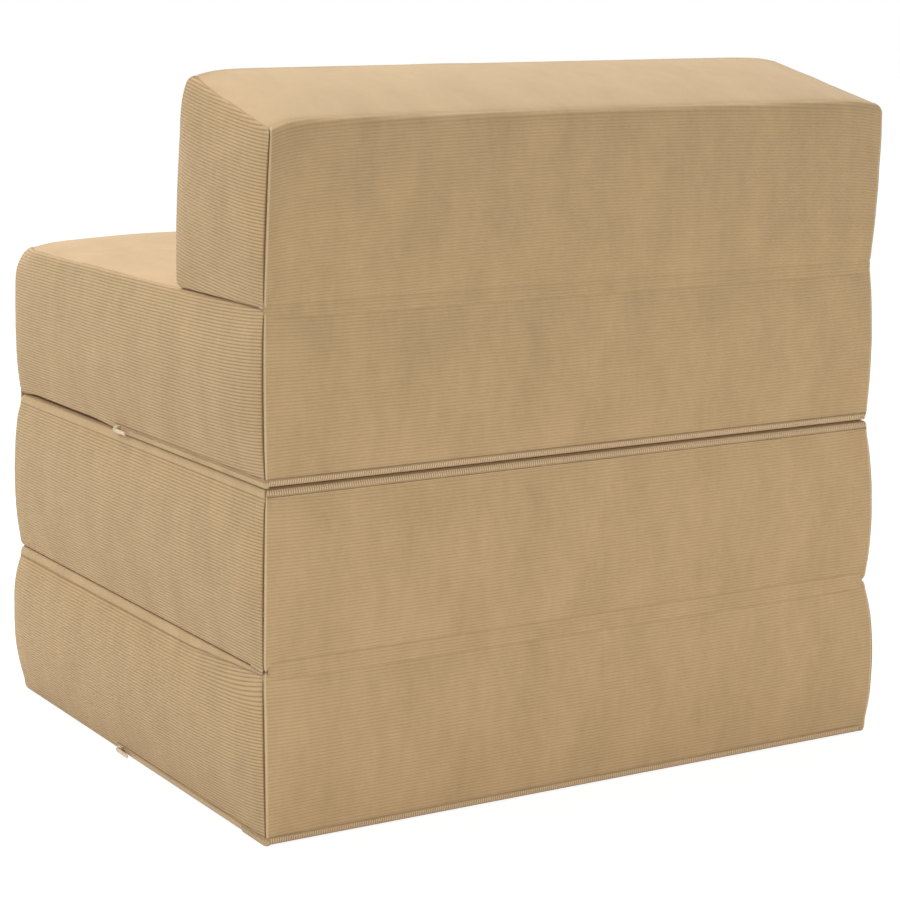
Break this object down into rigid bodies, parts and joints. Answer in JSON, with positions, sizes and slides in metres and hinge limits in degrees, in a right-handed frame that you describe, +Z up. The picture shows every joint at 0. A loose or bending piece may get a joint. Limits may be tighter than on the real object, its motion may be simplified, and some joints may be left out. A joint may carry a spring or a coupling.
{
  "type": "folding sofa bed",
  "caption": "Corduroy-covered foam block sofa with cloth hinges; the stacked slabs and a wedge backrest unfold end to end into a flat single bed.",
  "frame": {"origin": "middle of the flat face on which the bottom block rests", "axes": "+X along the hinges, towards the end with the visible zip pulls; +Y to the rear of the sofa; +Z up"},
  "size_m": [0.716, 0.6365, 0.703],
  "materials": {
    "corduroy": "fine camel corduroy with a soft nap",
    "foam": "open-cell foam, matte",
    "zip_tape": "woven tape",
    "zip_coil": "spun nylon coil",
    "zip_slider": "cream enamel",
    "hinge_cloth": "doubled corduroy strip"
  },
  "bodies": {
    "bottom": {"bottom_foam_core": "foam", "bottom_cover_wrap": "corduroy", "bottom_end_panel_right": "corduroy", "bottom_end_panel_left": "corduroy", "bottom_zip_tape": "zip_tape", "bottom_zip_coil": "zip_coil", "bottom_zip_slider": "zip_slider", "bottom_zip_pull": "zip_slider", "lower_hinge_leaf_bottom": "hinge_cloth"},
    "middle": {"middle_foam_core": "foam", "middle_cover_wrap": "corduroy", "middle_end_panel_right": "corduroy", "middle_end_panel_left": "corduroy", "middle_zip_tape": "zip_tape", "middle_zip_coil": "zip_coil", "middle_zip_slider": "zip_slider", "middle_zip_pull": "zip_slider", "lower_hinge_leaf_middle": "hinge_cloth", "upper_hinge_leaf_middle": "hinge_cloth"},
    "seat": {"seat_foam_core": "foam", "seat_cover_wrap": "corduroy", "seat_end_panel_right": "corduroy", "seat_end_panel_left": "corduroy", "seat_zip_tape": "zip_tape", "seat_zip_coil": "zip_coil", "seat_zip_slider": "zip_slider", "seat_zip_pull": "zip_slider", "upper_hinge_leaf_seat": "hinge_cloth", "back_hinge_leaf_seat": "hinge_cloth"},
    "backrest": {"backrest_foam_core": "foam", "backrest_cover_wrap": "corduroy", "backrest_end_panel_right": "corduroy", "backrest_end_panel_left": "corduroy", "backrest_zip_tape": "zip_tape", "backrest_zip_coil": "zip_coil", "backrest_zip_slider": "zip_slider", "backrest_zip_pull": "zip_slider", "back_hinge_leaf_backrest": "hinge_cloth"}
  },
  "joints": [
    {"name": "lower_fold", "type": "hinge", "parent": "bottom", "child": "middle", "pos_m": [0, 0.3097, 0.164], "axis": [-1, 0, 0], "range_deg": [0, 180]},
    {"name": "upper_fold", "type": "hinge", "parent": "middle", "child": "seat", "pos_m": [0, -0.3097, 0.328], "axis": [1, 0, 0], "range_deg": [0, 180]},
    {"name": "back_fold", "type": "hinge", "parent": "seat", "child": "backrest", "pos_m": [0, 0.3097, 0.492], "axis": [-1, 0, 0], "range_deg": [0, 150]}
  ]
}
